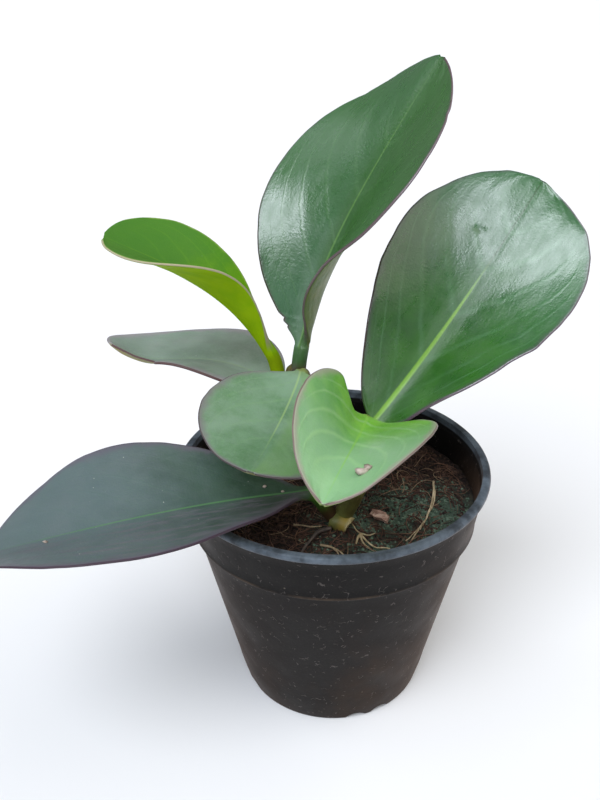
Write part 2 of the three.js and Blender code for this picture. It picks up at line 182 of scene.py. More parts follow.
LOOKS = {
    "leaf_upper": {
        "slot": "leaf_dark", "green": ((0.016, 0.085, 0.008), (0.036, 0.125, 0.024)),
        "tip": (0.022, 0.115, 0.014), "tip_share": 0.7,
        "left": (0.060, 0.150, 0.080), "left_share": 0.75,
        "right": (0.045, 0.125, 0.018), "right_share": 0.55,
        "vein": (0.08, 0.20, 0.06), "vein_share": 0.3,
        "rib": (0.12, 0.27, 0.05), "rib_width": 0.7, "rib_share": 0.6,
        "band": (0.045, 0.05, 0.04), "band_share": 0.55, "edge_width": 1.3,
        "rim_left": (0.045, 0.018, 0.018), "rim_right": (0.09, 0.05, 0.06),
        "under": (0.12, 0.145, 0.012), "stalk": (0.015, 0.085, 0.003),
        "dusty": 0.02, "skin": 0.75, "roughness": 0.27, "coat": 0.15, "gloss": 1.0,
    },
    "leaf_right": {
        "slot": "leaf_dark", "green": ((0.010, 0.095, 0.001), (0.030, 0.150, 0.006)),
        "tip": (0.042, 0.145, 0.055), "tip_share": 0.8,
        "vein": (0.10, 0.25, 0.11), "vein_share": 0.4, "vein_width": 0.16,
        "rib": (0.20, 0.44, 0.02), "rib_width": 1.3, "rib_share": 0.95, "rib_reach": 0.62,
        "rib_end": (0.015, 0.06, 0.02), "rib_end_share": 0.7,
        "band": (0.07, 0.08, 0.075), "band_share": 0.6, "edge_width": 2.0,
        "rim_left": (0.045, 0.018, 0.018), "rim_right": (0.08, 0.05, 0.07),
        "under": (0.13, 0.16, 0.05), "stalk": (0.08, 0.20, 0.012),
        "dusty": 0.02, "skin": 0.65, "roughness": 0.28, "coat": 0.15, "gloss": 1.0,
    },
    "leaf_young": {
        "slot": "leaf_lime", "green": ((0.080, 0.245, 0.0), (0.155, 0.345, 0.0)),
        "tip": (0.060, 0.190, 0.025), "tip_share": 0.9,
        "left": (0.25, 0.41, 0.0), "left_share": 0.6,
        "vein": (0.17, 0.38, 0.02), "vein_share": 0.15,
        "rib": (0.25, 0.45, 0.02), "rib_share": 0.3,
        "band": (0.40, 0.52, 0.12), "band_share": 0.55, "edge_width": 1.0,
        "rim_left": (0.42, 0.37, 0.25), "rim_right": (0.20, 0.10, 0.03), "rim_width": 0.24,
        "under": (0.29, 0.46, 0.0), "stalk": (0.19, 0.28, 0.0), "stalk_foot": (0.07, 0.02, 0.008),
        "dusty": 0.0, "specks": 0.1, "roughness": 0.42, "coat": 0.0, "gloss": 0.12,
    },
    "leaf_left": {
        "slot": "leaf_dull", "green": ((0.165, 0.235, 0.168), (0.245, 0.330, 0.255)),
        "tip": (0.23, 0.31, 0.26), "tip_share": 0.5,
        "vein": (0.25, 0.36, 0.24), "vein_share": 0.15,
        "rib": (0.28, 0.40, 0.22), "rib_width": 0.7, "rib_share": 0.4,
        "band": (0.32, 0.28, 0.31), "band_share": 0.8, "edge_width": 4.0,
        "rim_left": (0.10, 0.05, 0.05), "rim_right": (0.14, 0.10, 0.10), "rim_width": 0.35,
        "under": (0.30, 0.24, 0.06), "stalk": (0.10, 0.12, 0.03),
        "dust": (0.34, 0.33, 0.33), "dusty": 0.3, "specks": 0.9, "roughness": 0.5, "coat": 0.0,
    },
    "leaf_round": {
        "slot": "leaf_dull", "green": ((0.085, 0.195, 0.080), (0.165, 0.285, 0.170)),
        "left": (0.15, 0.29, 0.09), "left_share": 0.7,
        "vein": (0.20, 0.36, 0.16), "vein_share": 0.25, "vein_width": 0.13,
        "rib": (0.30, 0.45, 0.15), "rib_width": 0.5, "rib_share": 0.6, "rib_reach": 0.8,
        "band": (0.17, 0.16, 0.16), "band_share": 0.9, "edge_width": 2.8,
        "rim_left": (0.065, 0.045, 0.048), "rim_right": (0.065, 0.045, 0.048), "rim_width": 0.35,
        "under": (0.22, 0.21, 0.09), "stalk": (0.16, 0.2, 0.05),
        "dust": (0.30, 0.33, 0.32), "dusty": 0.25, "specks": 0.8, "roughness": 0.48, "coat": 0.0,
    },
    "leaf_folded": {
        "slot": "leaf_fresh", "green": ((0.070, 0.320, 0.0), (0.190, 0.490, 0.030)),
        "tip": (0.25, 0.44, 0.25), "tip_share": 0.8,
        "left": (0.15, 0.40, 0.01), "left_share": 0.5,
        "vein": (0.32, 0.56, 0.24), "vein_share": 0.55, "vein_width": 0.16,
        "rib": (0.22, 0.50, 0.05), "rib_width": 0.7, "rib_share": 0.6,
        "band": (0.34, 0.34, 0.26), "band_share": 0.9, "edge_width": 2.4,
        "rim_left": (0.19, 0.14, 0.12), "rim_right": (0.19, 0.14, 0.12), "rim_width": 0.25,
        "under": (0.28, 0.32, 0.12), "stalk": (0.14, 0.2, 0.03),
        "dust": (0.42, 0.56, 0.46), "dusty": 0.12, "roughness": 0.36, "gloss": 0.4,
    },
    "leaf_low": {
        "slot": "leaf_blue", "green": ((0.014, 0.045, 0.019), (0.036, 0.078, 0.044)),
        "tip": (0.115, 0.160, 0.165), "tip_share": 0.8,
        "left": (0.060, 0.064, 0.064), "left_share": 0.65,
        "vein": (0.07, 0.14, 0.10), "vein_share": 0.15,
        "rib": (0.09, 0.23, 0.08), "rib_width": 0.55, "rib_share": 0.7,
        "band": (0.12, 0.095, 0.13), "band_share": 0.7, "edge_width": 3.0,
        "rim_left": (0.05, 0.03, 0.045), "rim_right": (0.05, 0.03, 0.045), "rim_width": 0.35,
        "under": (0.13, 0.12, 0.08), "stalk": (0.05, 0.14, 0.012),
        "streak": (0.150, 0.130, 0.158), "streak_share": 0.5,
        "dust": (0.17, 0.18, 0.19), "dusty": 0.3, "specks": 0.9, "roughness": 0.44, "coat": 0.0,
        "gloss": 0.3,
    },
}


# ------------------------------------------------------------------ small helpers
def unit(v):
    return v / np.linalg.norm(v, axis=-1, keepdims=True)


def lattice_noise(points, cell, seed):
    """Smooth noise from -1 to 1 at each point, with one random value per cube of size cell."""
    grid = np.asarray(points, float) / cell
    low = np.floor(grid).astype(np.int64)
    share = grid - low
    share = share * share * (3 - 2 * share)
    total = np.zeros(len(grid))
    for corner in range(8):
        step = np.array([corner & 1, (corner >> 1) & 1, corner >> 2])
        x, y, z = (low + step).T
        key = (x * 374761393 + y * 668265263 + z * 974634777 + seed * 1274126177) & 0xFFFFFFFF
        key = ((key ^ (key >> 13)) * 1103515245) & 0xFFFFFFFF
        key = (key ^ (key >> 16)) & 0xFFFF
        weight = np.prod(np.where(step == 1, share, 1 - share), axis=1)
        total += weight * (key / 32767.5 - 1)
    return total


def make_mesh(name, points, faces, fields=None):
    """A smooth mesh object from points in metres, with a float attribute for each field."""
    mesh = bpy.data.meshes.new(name)
    mesh.from_pydata([tuple(p) for p in points], [], faces)
    for field, values in (fields or {}).items():
        attribute = mesh.attributes.new(field, "FLOAT", "POINT")
        attribute.data.foreach_set("value", np.asarray(values, np.float32))
    mesh.polygons.foreach_set("use_smooth", [True] * len(mesh.polygons))
    mesh.update()
    piece = bpy.data.objects.new(name, mesh)
    bpy.context.collection.objects.link(piece)
    return piece


def finish_piece(piece, material, slot, *nodes):
    """Gives a piece its material and its body, and hides the CAD parts that it stands for."""
    piece.data.materials.append(material)
    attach(piece, BODY)
    if nodes:
        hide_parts(*nodes)


def above_soil(point):
    return np.array([point[0], point[1], point[2] + SOIL_LEVEL], float)


def bezier(points, t):
    t = np.asarray(t, float)[:, None]
    a, b, c, d = points
    return (1 - t) ** 3 * a + 3 * (1 - t) ** 2 * t * b + 3 * (1 - t) * t * t * c + t**3 * d


def bezier_slope(points, t):
    t = np.asarray(t, float)[:, None]
    a, b, c, d = points
    return unit((1 - t) ** 2 * (b - a) + 2 * (1 - t) * t * (c - b) + t * t * (d - c))


def smooth_path(points, count):
    """Points along a Catmull-Rom curve through the given ones."""
    points = [np.asarray(p, float) for p in points]
    ends = [2 * points[0] - points[1], *points, 2 * points[-1] - points[-2]]
    out = []
    spans = len(points) - 1
    for i in range(count):
        place = spans * i / (count - 1)
        k = min(int(place), spans - 1)
        u = place - k
        a, b, c, d = ends[k : k + 4]
        out.append(
            0.5 * (2 * b + (c - a) * u + (2 * a - 5 * b + 4 * c - d) * u * u
                   + (3 * b - a - 3 * c + d) * u**3)
        )
    return np.array(out)


def ring_faces(rings, count, offset=0):
    """The faces of a body through rings of `count` points each, with both ends closed."""
    faces = []
    for i in range(rings - 1):
        for j in range(count):
            a = offset + i * count + j
            b = offset + i * count + (j + 1) % count
            faces.append((a, b, b + count, a + count))
    faces.append(tuple(offset + j for j in reversed(range(count))))
    last = offset + (rings - 1) * count
    faces.append(tuple(last + j for j in range(count)))
    return faces


def tube(path, radii, sides, squash=1.0):
    """Rings of points round a path, for ring_faces; squash flattens the section's height."""
    path = np.asarray(path, float)
    along = unit(np.gradient(path, axis=0))
    helper = np.tile([0.0, 0.0, 1.0], (len(path), 1))
    steep = np.abs(along[:, 2]) > 0.9
    helper[steep] = [0.0, 1.0, 0.0]
    side = unit(np.cross(helper, along))
    up = np.cross(along, side)
    angle = 2 * math.pi * np.arange(sides) / sides
    out = (
        side[:, None] * np.cos(angle)[None, :, None]
        + up[:, None] * squash * np.sin(angle)[None, :, None]
    )
    return (path[:, None] + out * np.asarray(radii)[:, None, None]).reshape(-1, 3)


# ------------------------------------------------------------------ shader helper
class Shader:
    """A material with short calls for the nodes that the looks below are made of."""

    def __init__(self, name):
        self.material = bpy.data.materials.new(name)
        self.material.use_nodes = True
        self.tree = self.material.node_tree
        self.surface = self.tree.nodes["Principled BSDF"]

    def node(self, kind, **settings):
        made = self.tree.nodes.new("ShaderNode" + kind)
        for key, value in settings.items():
            setattr(made, key, value)
        return made

    def put(self, socket, value):
        if isinstance(value, bpy.types.NodeSocket):
            self.tree.links.new(value, socket)
        elif isinstance(value, tuple) and len(value) == 3 and socket.type == "RGBA":
            socket.default_value = (*value, 1)
        else:
            socket.default_value = value

    def feed(self, made, **values):
        """Sets inputs of a node, linked or plain: Scale=..., From_Min=..., and so on."""
        for key, value in values.items():
            self.put(made.inputs[key.replace("_", " ")], value)
        return made

    def set(self, **values):
        """Sets inputs of the surface: Base_Color=..., Coat_Weight=..., and so on."""
        self.feed(self.surface, **values)

    def field(self, name):
        return self.node("Attribute", attribute_name=name).outputs["Fac"]

    def place(self):
        return self.node("TexCoord").outputs["Object"]

    def math(self, operation, a, b=0.0):
        made = self.node("Math", operation=operation)
        self.put(made.inputs[0], a)
        self.put(made.inputs[1], b)
        return made.outputs[0]

    def blend(self, share, a, b):
        return self.feed(
            self.node("Mix", data_type="RGBA"), Factor=share, A=a, B=b
        ).outputs["Result"]

    def stretch(self, vector, scale):
        return self.feed(self.node("Mapping"), Vector=vector, Scale=scale).outputs["Vector"]

    def noise(self, scale, detail=3.0, rough=0.55, vector=None):
        place = self.place() if vector is None else vector
        return self.feed(
            self.node("TexNoise"), Vector=place, Scale=scale, Detail=detail, Roughness=rough
        ).outputs["Fac"]

    def cells(self, scale):
        made = self.feed(self.node("TexVoronoi"), Vector=self.place(), Scale=scale)
        return made.outputs["Distance"]

    def fade(self, value, start, end, low=0.0, high=1.0):
        """Goes smoothly from low to high as value goes from start to end."""
        return self.feed(
            self.node("MapRange", interpolation_type="SMOOTHSTEP"),
            Value=value, From_Min=start, From_Max=end, To_Min=low, To_Max=high,
        ).outputs["Result"]

    def bump(self, height, distance, strength=1.0, normal=None):
        made = self.feed(self.node("Bump"), Height=height, Distance=distance, Strength=strength)
        if normal is not None:
            self.feed(made, Normal=normal)
        return made.outputs["Normal"]


# ------------------------------------------------------------------ leaves
def outline(t, shape):
    rise, fall = shape
    widest = rise / (rise + fall)
    return (t / widest) ** rise * ((1 - t) / (1 - widest)) ** fall


def leaf_stations(leaf):
    """Centres, directions and sizes of all sections, from the stem to the tip."""
    rib = np.array([above_soil(p) for p in leaf["rib"]])
    start = above_soil(STEM_PATH[leaf["start"]])
    start[2] = max(start[2], SOIL_LEVEL + STALK_RADIUS / 2)
    reach = np.linalg.norm(rib[0] - start) / 3
    leave = np.array(leaf["leave"], float)
    enter = bezier_slope(rib, [0.0])[0]
    stalk = np.array([start, start + leave * reach, rib[0] - enter * reach, rib[0]])
    u = np.arange(STALK_RINGS) / STALK_RINGS
    s = np.arange(BLADE_RINGS + 1) / BLADE_RINGS
    t = 0.998 * (0.55 * s + 0.45 * (0.5 - 0.5 * np.cos(math.pi * s)))
    centre = np.vstack([bezier(stalk, u), bezier(rib, t)])
    along = np.vstack([bezier_slope(stalk, u), bezier_slope(rib, t)])
    turn = np.concatenate([np.zeros(STALK_RINGS), t * t * (3 - 2 * t)])[:, None]
    first, last = unit(np.array(leaf["faces"], float))
    up = first * (1 - turn) + last * turn
    up = unit(up - along * (up * along).sum(1, keepdims=True))
    return {
        "centre": centre, "along": along, "up": up, "right": np.cross(along, up),
        "t": np.concatenate([np.zeros(STALK_RINGS), t]),
        "place": np.concatenate([u - 1, t]),
        "length": np.linalg.norm(np.diff(bezier(rib, t), axis=0), axis=1).sum(),
    }


def leaf_middle(leaf, life, at, q):
    """The leaf's middle sheet: a grid of points, station by station, and its half widths."""
    t = at["t"]
    fade = np.where(at["place"] < 0, 1.0, np.exp(-t / FLARE))
    full = np.hypot(leaf["half_width"] * outline(t, leaf["shape"]), STALK_RADIUS * fade)
    opened = np.where(at["place"] < 0, 0.0, 1 - np.exp(-t / leaf.get("neck", NECK)))
    grid = np.zeros((len(t), len(q), 3))
    widths = np.zeros((len(t), len(q)))
    for side in (-1, 1):
        run = np.stack([t * at["length"], np.full(len(t), 50.0 * side), 0 * t], 1)
        frill = lattice_noise(run, 9.0, life["seed"] + 2) * 0.3
        frill += lattice_noise(run, 3.0, life["seed"] + 3) * 0.12
        half = full + frill * np.clip(full / 12, 0, 1) * (1 - fade)
        for along, edge, size, depth in life.get("nicks", ()):
            if edge == side:
                half = half - depth * np.exp(-(((t - along) * at["length"] / size) ** 2))
        half = np.maximum(half, 0.3)
        name = "left" if side < 0 else "right"
        fold_base, fold_tip = np.radians(leaf["fold_" + name])
        curl_base, curl_tip = np.radians(leaf["curl_" + name])
        fold = (fold_tip + (fold_base - fold_tip) * (1 - t) ** 1.5) * opened
        curl = (curl_tip + (curl_base - curl_tip) * (1 - t)) * opened
        columns = np.where(q * side >= 0)[0]
        columns = columns if side > 0 else columns[::-1]
        widths[:, columns] = half[:, None]
        x = np.abs(q[columns])
        crease = np.clip(3.0 / np.maximum(half, 1), 0.05, 0.3)[:, None]
        soft = 1 - np.exp(-((x[None] / crease) ** 1.5))
        angle = fold[:, None] * soft + curl[:, None] * x[None]
        middle = (angle[:, 1:] + angle[:, :-1]) / 2
        step = np.diff(x)[None] * half[:, None]
        zero = np.zeros((len(t), 1))
        outwards = np.hstack([zero, np.cumsum(np.cos(middle) * step, axis=1)])
        raised = np.hstack([zero, np.cumsum(np.sin(middle) * step, axis=1)])
        grid[:, columns] = (
            at["centre"][:, None]
            + at["right"][:, None] * (side * outwards)[:, :, None]
            + at["up"][:, None] * raised[:, :, None]
        )
    return grid, widths, fade


def sheet_normal(grid, up):
    """Unit normals of a grid of points, on the side that `up` is on along the middle column."""
    normal = unit(np.cross(np.gradient(grid, axis=1), np.gradient(grid, axis=0)))
    middle = normal[:, grid.shape[1] // 2]
    return normal * np.sign((middle * up).sum(1))[:, None, None]


CRUMBS = []  # where crumbs lie on leaves, as (place, size)


def leaf_piece(name):
    """One leaf with its stalk: a closed body whose upper and under sides differ."""
    leaf, life = LEAVES[name], SURFACES[name]
    at = leaf_stations(leaf)
    q = np.sin(np.linspace(-1, 1, 2 * HALF_COLUMNS + 1) * math.pi / 2)
    q[HALF_COLUMNS] = 0.0
    grid, half, fade = leaf_middle(leaf, life, at, q)
    t, blade_only = at["t"][:, None], (at["place"] >= 0)[:, None]
    across = np.abs(q)[None]
    from_rib = across * half
    opened = np.where(blade_only, 1 - np.exp(-t / FLARE), 0.0)

    # The sheet's own waves: the edge undulates, and soft pads stand between the veins.
    normal = sheet_normal(grid, at["up"])
    spot = np.stack(np.broadcast_arrays(t * at["length"], q[None] * half, 0 * t), -1)
    flat = spot.reshape(-1, 3)
    waves = lattice_noise(flat, 16.0, life["seed"]).reshape(from_rib.shape)
    small = lattice_noise(flat * [0.4, 1, 1], 3.0, life["seed"] + 1).reshape(from_rib.shape)
    fine = lattice_noise(flat, 1.3, life["seed"] + 4).reshape(from_rib.shape)
    reach = np.clip(1 - across / 1.06, 0.02, 1)
    vein = (t + 0.3 * np.log(reach)) / life["vein_gap"] + 0.6
    pads = (0.5 - 0.5 * np.cos(2 * math.pi * vein)) * 6 * across * (1 - across) ** 2
    lift = life["wave"] * waves * across**2
    lift += life["pads"] * (pads + (0.5 * small + 0.12 * fine) * across**0.5)
    for along, side, radius, depth in life.get("dents", ()):
        away = np.hypot((t - along) * at["length"], (q[None] - side) * half)
        lift -= depth * np.exp(-((away / radius) ** 2))
    grid += normal * (lift * opened)[:, :, None]
    normal = sheet_normal(grid, at["up"])

    # Thickness: round at the edge, with a keel below the midrib and a groove above it.
    thin = BLADE_MIDDLE + (BLADE_EDGE - BLADE_MIDDLE) * t
    edge_at = 1 - np.minimum(0.9, 0.75 / half)
    rounding = np.sqrt(1 - np.clip((across - edge_at) / (1 - edge_at), 0, 1) ** 2)
    blade_depth = thin / 2 * (0.75 + 0.25 * np.exp(-((from_rib / 6) ** 2))) * rounding
    stalk_depth = STALK_RADIUS * np.sqrt(np.clip(1 - across**2, 0, 1))
    share = np.where(blade_only, np.exp(-t / leaf.get("neck", NECK)), 1.0)
    depth = blade_depth * (1 - share) + stalk_depth * share
    toward_tip = np.clip(1 - t, 0, 1) ** 0.6
    groove = life["groove"] * np.exp(-((from_rib / 0.8) ** 2)) * toward_tip * opened
    up_stalk = 1 + at["place"][:, None].clip(-1, 0)
    channel = 0.7 * np.exp(-((across / 0.45) ** 2)) * share * up_stalk
    keel = 0.9 * np.exp(-((from_rib / 1.6) ** 2)) * toward_tip * opened * rounding
    upper = grid + normal * (depth - groove - channel)[:, :, None]
    lower = grid - normal * (depth + keel)[:, :, None]

    for along, side, size in life.get("crumbs", ()):
        row, column = np.abs(at["place"] - along).argmin(), np.abs(q - side).argmin()
        CRUMBS.append((upper[row, column] + normal[row, column] * size * 0.3, size))

    # Rings run over the upper side from the left edge to the right, and back below.
    columns = len(q)
    rings = np.concatenate([upper, lower[:, -2:0:-1]], axis=1)
    q_ring = np.concatenate([q, q[-2:0:-1]])
    below = np.concatenate([np.zeros(columns), np.ones(columns - 2)])
    below[[0, columns - 1]] = 0.5
    shape = rings.shape[:2]
    half_ring = np.concatenate([half, half[:, -2:0:-1]], axis=1)
    fields = {
        "along": np.broadcast_to(at["place"][:, None], shape),
        "across": np.broadcast_to(q_ring[None], shape),
        "run": np.broadcast_to((at["place"] * at["length"])[:, None], shape),
        "from_rib": np.abs(q_ring)[None] * half_ring,
        "from_edge": (1 - np.abs(q_ring))[None] * half_ring,
        "vein": np.concatenate([vein, vein[:, -2:0:-1]], axis=1),
        "below": np.broadcast_to(below[None], shape),
    }
    fields = {key: values.reshape(-1) for key, values in fields.items()}
    points = rings.reshape(-1, 3) * MM
    faces = ring_faces(shape[0], shape[1])
    piece = make_mesh(name + "_blade", points, faces, fields)
    look = {**PLAIN_LOOK, **LOOKS[name]}
    finish_piece(piece, leaf_material(name, look), look["slot"], name)


def leaf_material(name, look):
    """Waxy leaf: mottled green, veins, pale midrib, coloured edge, dust and a paler under side."""
    s = Shader(name + "_skin")
    along, across, below = s.field("along"), s.field("across"), s.field("below")
    from_rib, from_edge = s.field("from_rib"), s.field("from_edge")
    wander = s.noise(120, 2)
    dark, light = look["green"]
    colour = s.blend(s.fade(s.noise(75, 4), 0.36, 0.66), dark, light)
    fine = s.fade(s.noise(1100, 3, 0.7), 0.42, 0.7, 0.0, 0.4)
    colour = s.blend(fine, colour, light)
    uneven = s.fade(s.noise(50, 4), 0.3, 0.7, 0.55, 1.0)
    for side, inner in (("left", -0.02), ("right", 0.02)):
        share = s.fade(across, inner, inner * 8, 0.0, look[side + "_share"])
        colour = s.blend(s.math("MULTIPLY", share, uneven), colour, look[side])
    toward_tip = s.math("ADD", along, s.math("MULTIPLY", wander, 0.25))
    colour = s.blend(s.fade(toward_tip, 0.2, 0.85, 0.0, look["tip_share"]), colour, look["tip"])

    # Streaks along the leaf: the noise is stretched along its length.
    strip = s.node("CombineXYZ")
    s.put(strip.inputs["X"], s.math("MULTIPLY", s.field("run"), 0.12))
    s.put(strip.inputs["Y"], s.math("MULTIPLY", from_rib, s.math("SIGN", across)))
    streaks = s.noise(0.55, 4, 0.65, strip.outputs["Vector"])
    half = s.fade(across, 0.0, -0.12, 0.0, look["streak_share"])
    colour = s.blend(s.math("MULTIPLY", s.fade(streaks, 0.48, 0.62), half), colour, look["streak"])

    # Side veins: soft lines where the vein field passes a whole number, gone at the tip.
    phase = s.math("ADD", s.field("vein"), s.math("MULTIPLY", wander, 0.3))
    vein = s.fade(s.math("PINGPONG", phase, 0.5), look["vein_width"], 0.0)
    vein = s.math("MULTIPLY", vein, s.fade(from_edge, 0.8, 5.0))
    vein = s.math("MULTIPLY", vein, s.fade(along, 0.95, 0.7))
    vein = s.math("MULTIPLY", vein, s.fade(s.noise(60, 2), 0.3, 0.65, 0.35, 1.0))
    colour = s.blend(s.math("MULTIPLY", vein, look["vein_share"]), colour, look["vein"])

    # The midrib: wide and bright at its base, then a hairline, or a dark groove, to the tip.
    width = s.fade(along, 0.0, 0.7, look["rib_width"], 0.35)
    rib = s.fade(s.math("DIVIDE", from_rib, width), 1.0, 0.35)
    reach = look["rib_reach"]
    bright = s.fade(along, reach * 0.6, reach, look["rib_share"], look["rib_share"] * 0.15)
    colour = s.blend(s.math("MULTIPLY", rib, bright), colour, look["rib"])
    groove = s.fade(along, reach * 0.8, reach * 1.05, 0.0, look["rib_end_share"])
    colour = s.blend(s.math("MULTIPLY", rib, groove), colour, look["rib_end"])

    film = s.fade(s.noise(45, 5, 0.7), 0.35, 0.75, 0.0, look["dusty"])
    colour = s.blend(film, colour, look["dust"])
    specks = s.math("MULTIPLY", s.fade(s.cells(420), 0.10, 0.05), s.fade(s.noise(60, 1), 0.55, 0.7))
    colour = s.blend(s.math("MULTIPLY", specks, look["specks"]), colour, (0.50, 0.52, 0.47))

    # A soft band inside the edge, and a thin rim right on it.
    reach = s.math("MULTIPLY", s.fade(s.noise(130, 3), 0.25, 0.75, 0.5, 1.5), look["edge_width"])
    grown = s.fade(along, 0.0, 0.08)
    band = s.fade(s.math("DIVIDE", from_edge, reach), 1.1, 0.1, 0.0, look["band_share"])
    colour = s.blend(s.math("MULTIPLY", band, grown), colour, look["band"])
    under = s.blend(s.fade(s.noise(120, 3), 0.3, 0.7, 0.0, 0.5), look["under"], light)
    colour = s.blend(below, colour, under)
    rim_colour = s.blend(s.fade(across, -0.05, 0.05), look["rim_left"], look["rim_right"])
    rim_width = look["rim_width"]
    rim = s.math("MULTIPLY", s.fade(from_edge, rim_width * 1.5, rim_width * 0.5), grown)
    colour = s.blend(rim, colour, rim_colour)

    # The stalk: its own green, brown where it meets the stem.
    colour = s.blend(s.fade(along, 0.06, -0.1), colour, look["stalk"])
    foot = s.fade(s.math("ADD", along, s.math("MULTIPLY", wander, 0.3)), -0.15, -0.55)
    colour = s.blend(foot, colour, look["stalk_foot"])

    level = look["roughness"]
    rough = s.fade(s.noise(180, 3), 0.3, 0.75, level - 0.04, level + 0.08)
    rough = s.math("ADD", rough, s.math("MULTIPLY", s.fade(streaks, 0.4, 0.65), 0.07))
    rough = s.math("ADD", rough, s.math("MULTIPLY", below, 0.25))
    rough = s.math("ADD", rough, s.math("MULTIPLY", film, 0.3))
    crease = s.math("MULTIPLY", s.fade(from_rib, 6.0, 1.5), s.fade(along, 0.65, 0.3))
    rough = s.math("ADD", rough, s.math("MULTIPLY", crease, 0.3))
    skin = s.math("ADD", s.noise(950, 3, 0.6), s.math("MULTIPLY", s.cells(1500), 0.35))
    relief = s.bump(skin, 0.00011, look["skin"])
    relief = s.bump(streaks, 0.0002, look["skin"] * 0.5, relief)
    relief = s.bump(vein, 0.00012, look["vein_share"], relief)
    s.set(
        Base_Color=colour, Roughness=rough, Normal=relief, Coat_Weight=look["coat"],
        Coat_Roughness=0.22, Specular_IOR_Level=look["gloss"], Subsurface_Weight=0.05,
        Subsurface_Radius=(0.2, 0.5, 0.1), Subsurface_Scale=0.003,
    )
    return s.material


# ------------------------------------------------------------------ stem
def stem_piece():
    """The zigzag stem with swollen nodes, and the old cut stub beside its foot."""
    foot = above_soil(STEM_PATH["soil"])
    root = foot + [-1, 1.5, -STEM["root_depth"]]
    nodes = [above_soil(STEM_PATH[key]) for key in ("lower", "upper", "top")]
    tip = nodes[-1] + [-0.4, 0, STEM["tip_radius"] / 2]
    rings, sides = 150, 40
    path = smooth_path([root, foot, *nodes, tip], rings)
    walked = np.concatenate([[0], np.cumsum(np.linalg.norm(np.diff(path, axis=0), axis=1))])
    u = walked / walked[-1]
    radius = STEM["radius"] + (STEM["tip_radius"] - STEM["radius"]) * u
    swell = np.zeros(rings)
    scar = np.zeros(rings)
    for node in nodes:
        here = walked[np.linalg.norm(path - node, axis=1).argmin()]
        swell = np.maximum(swell, np.exp(-((walked - here) ** 2) / 12))
        scar = np.maximum(scar, np.exp(-((walked - here + 3.2) ** 2) / 0.25))
    radius = radius + STEM["node_bulge"] * swell - 0.35 * scar
    points = tube(path, radius, sides)
    rough = lattice_noise(points * [1, 1, 0.35], 1.6, 5) * 0.12
    rough += lattice_noise(points, 6.0, 6) * 0.3
    centre = np.repeat(path, sides, axis=0)
    points += unit(points - centre) * rough[:, None]
    height = np.repeat(walked, sides)
    faces = ring_faces(rings, sides)

    stub_rings, stub_sides = 14, 28
    stub_path = np.linspace(above_soil(STUB_START), above_soil(STUB_END), stub_rings)
    stub_radii = STUB_RADIUS * (1 + 0.08 * np.sin(np.linspace(0, 6, stub_rings)))
    stub = tube(stub_path, stub_radii, stub_sides)
    last = slice(-stub_sides, None)
    ragged = lattice_noise(stub[last] * 3, 2.0, 8) * 1.2
    stub[last] += unit(stub_path[-1] - stub_path[0]) * ragged[:, None]
    stub += unit(stub - np.repeat(stub_path, stub_sides, axis=0)) * (
        lattice_noise(stub, 1.8, 9) * 0.25
    )[:, None]
    faces += ring_faces(stub_rings, stub_sides, len(points))
    fields = {
        "height": np.concatenate([height, np.full(len(stub), STEM["root_depth"])]) / 100,
        "stub": np.concatenate(
            [np.zeros(len(points)), np.repeat(np.linspace(0, 1, stub_rings), stub_sides)]
        ),
    }
    piece = make_mesh("stem_body", np.vstack([points, stub]) * MM, faces, fields)
    finish_piece(piece, stem_material(), "stem_skin", "main_stem")


def stem_material():
    s = Shader("stem_skin_green_brown")
    olive = s.blend(s.fade(s.noise(140, 4), 0.35, 0.7), (0.10, 0.085, 0.02), (0.16, 0.17, 0.045))
    streaks = s.noise(420, 3, 0.6, s.stretch(s.place(), (1, 1, 0.25)))
    colour = s.blend(s.fade(streaks, 0.5, 0.72), olive, (0.05, 0.028, 0.012))
    pores = s.fade(s.cells(520), 0.16, 0.07)
    colour = s.blend(s.math("MULTIPLY", pores, 0.5), colour, (0.32, 0.27, 0.13))
    stub = s.field("stub")
    colour = s.blend(s.fade(stub, 0.3, 0.75), colour, (0.34, 0.25, 0.05))
    colour = s.blend(s.fade(stub, 0.8, 1.0), colour, (0.46, 0.38, 0.18))
    relief = s.bump(streaks, 0.0003, 0.5)
    s.set(Base_Color=colour, Roughness=0.5, Normal=relief)
    return s.material


